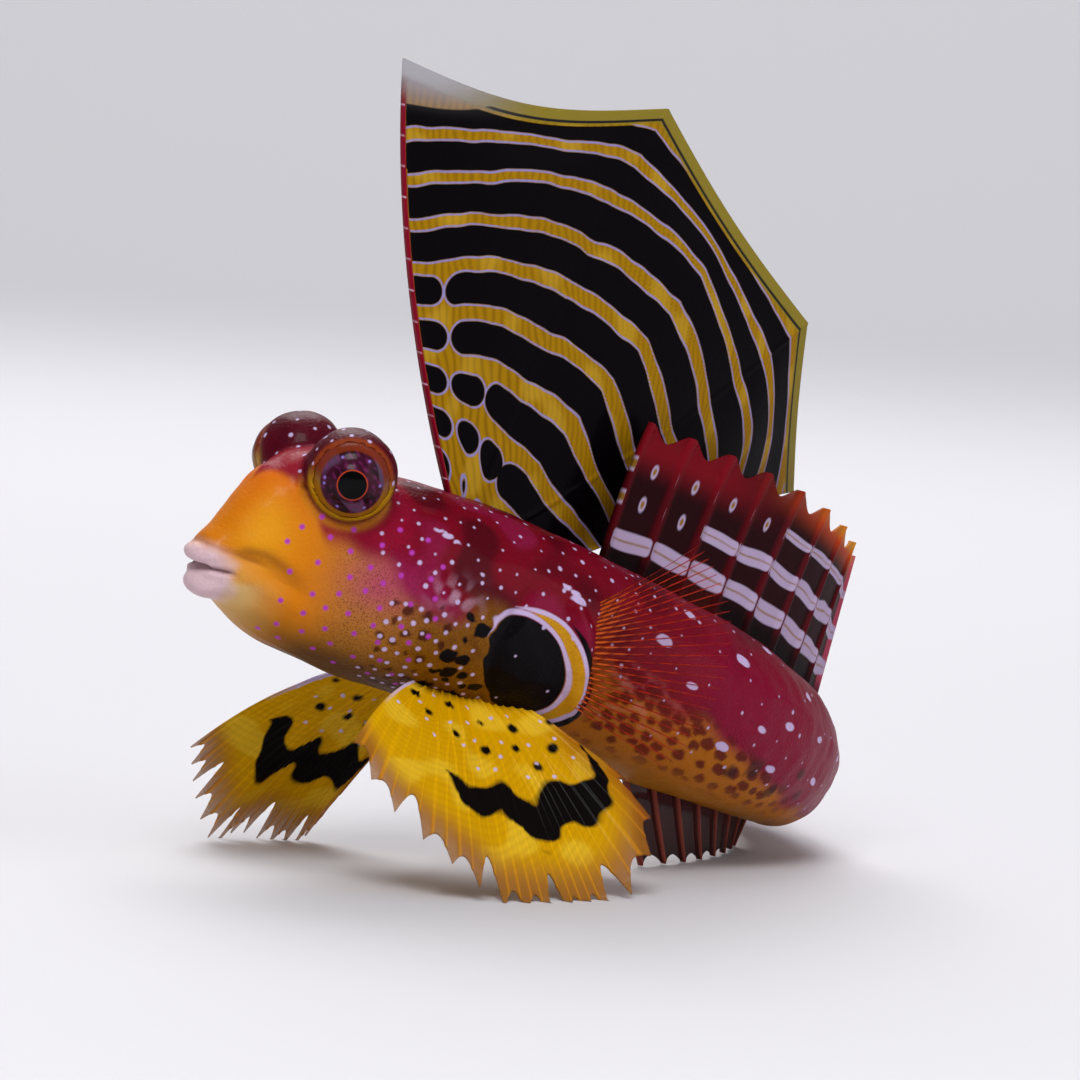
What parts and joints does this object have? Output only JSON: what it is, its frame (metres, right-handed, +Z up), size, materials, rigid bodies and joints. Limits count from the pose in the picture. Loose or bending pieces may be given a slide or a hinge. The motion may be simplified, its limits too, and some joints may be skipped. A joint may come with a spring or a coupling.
{
  "type": "ruby red dragonet fish",
  "caption": "Small bottom-living reef fish perched on its pelvic fins, with raised orbits, a tall spread sail on its back and its tail curved to its right.",
  "frame": {"origin": "on the floor under the middle of the fish's bounding box; the pelvic fins' tips rest on z = 0", "axes": "-X the way the fish faces, -Y its left side, +Z up"},
  "size_m": [0.0364, 0.033, 0.0289],
  "materials": {
    "face_amber": "glossy",
    "ruby_skin": "glossy",
    "eye_dark": "glossy",
    "sail_yellow": "satin",
    "fin_dusk_red": "satin",
    "fin_yellow": "satin",
    "fin_orange": "satin",
    "fin_dusk": "satin",
    "tail_pink": "satin"
  },
  "bodies": {
    "root": {"head": "face_amber", "eye_left": "eye_dark", "eye_right": "eye_dark", "torso": "ruby_skin", "trunk": "ruby_skin", "tail": "ruby_skin", "dorsal_fin_first": "sail_yellow", "dorsal_fin_second": "fin_dusk_red", "anal_fin": "fin_dusk", "tail_fin": "tail_pink", "pectoral_fin_left": "fin_orange", "pectoral_fin_right": "fin_orange", "pelvic_fin_left": "fin_yellow", "pelvic_fin_right": "fin_yellow"}
  },
  "joints": []
}
